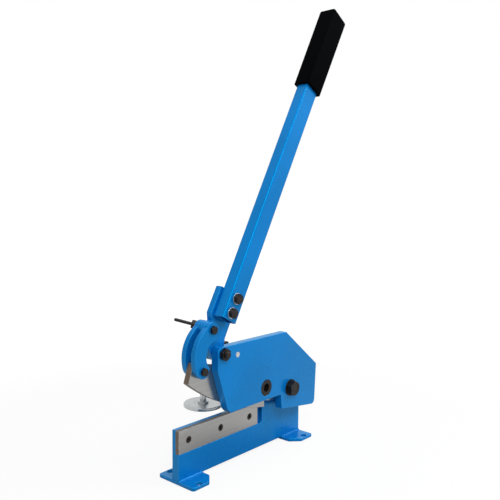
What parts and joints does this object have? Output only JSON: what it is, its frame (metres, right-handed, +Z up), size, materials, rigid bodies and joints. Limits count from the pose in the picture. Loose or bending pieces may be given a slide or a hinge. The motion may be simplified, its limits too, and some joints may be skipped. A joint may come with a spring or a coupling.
{
  "type": "bench lever shear",
  "caption": "Hand lever plate shear for a bench: a link-driven upper blade with a bowed edge, a round bar cutter and a screw hold-down.",
  "frame": {"origin": "centre of the four fixing holes, on the underside of the feet", "axes": "+X along the base from its open end to the blade pivot, +Y away from the operator's side, +Z up"},
  "size_m": [0.4169, 0.1408, 0.851],
  "materials": {
    "blue_paint": "semi-gloss sprayed enamel",
    "ground_steel": "ground",
    "black_oxide": "black oxide, oiled",
    "zinc_plate": "bright zinc",
    "grip_rubber": "matt, slightly grained"
  },
  "bodies": {
    "frame": {"main_frame": "blue_paint", "near_foot": "blue_paint", "far_foot": "blue_paint", "lower_blade": "ground_steel", "lower_blade_screws": "black_oxide", "lower_blade_nuts": "black_oxide", "front_cheek": "blue_paint", "cheek_spacer": "blue_paint", "tie_pin": "zinc_plate", "tie_sleeve": "blue_paint", "tie_nut": "black_oxide", "fixed_cutter_bush": "black_oxide", "blade_pivot_bolt": "black_oxide", "blade_pivot_washers": "black_oxide", "blade_pivot_nut": "black_oxide", "lever_pivot_bolt": "black_oxide", "lever_pivot_washer": "black_oxide", "lever_pivot_nut": "black_oxide", "holddown_arm": "black_oxide", "holddown_lock_nut": "black_oxide"},
    "lever": {"lever_plate": "blue_paint", "handle_tube": "blue_paint", "handle_grip": "grip_rubber", "tube_bolts": "black_oxide", "tube_washers": "zinc_plate", "tube_nuts": "black_oxide"},
    "blade": {"upper_blade": "ground_steel", "moving_cutter_bush": "black_oxide"},
    "links": {"front_link": "blue_paint", "rear_link": "blue_paint", "upper_link_bolt": "black_oxide", "lower_link_bolt": "black_oxide", "link_washers": "black_oxide", "link_nuts": "black_oxide"},
    "disc": {"holddown_disc": "zinc_plate"},
    "spindle": {"holddown_spindle": "zinc_plate", "holddown_disc_screw": "black_oxide", "holddown_hub": "black_oxide", "holddown_rod": "black_oxide"}
  },
  "joints": [
    {"name": "lever_hinge", "type": "hinge", "parent": "frame", "child": "lever", "pos_m": [-0.0875, -0.0143, 0.2125], "axis": [0, -1, 0], "range_deg": [0, 100]},
    {"name": "blade_hinge", "type": "hinge", "parent": "frame", "child": "blade", "pos_m": [0.099, -0.0143, 0.114], "axis": [0, -1, 0], "range_deg": [0, 17.6]},
    {"name": "link_hinge", "type": "hinge", "parent": "blade", "child": "links", "pos_m": [-0.1295, -0.0143, 0.189], "axis": [0, -1, 0], "range_deg": [-5.1, 0]},
    {"name": "disc_slide", "type": "slide", "parent": "frame", "child": "disc", "axis": [0, 0, 1], "range_m": [-0.004, 0.014]},
    {"name": "spindle_turn", "type": "hinge", "parent": "disc", "child": "spindle", "pos_m": [-0.0535, 0.048, 0.2395], "axis": [0, 0, 1], "range_deg": [-823, 2881]}
  ],
  "couplings": [
    {"joint": "blade_hinge", "follows": "lever_hinge", "ratio": 0.1755},
    {"joint": "link_hinge", "follows": "lever_hinge", "ratio": -0.05},
    {"joint": "spindle_turn", "follows": "disc_slide", "rad_per_m": 3590.4}
  ]
}
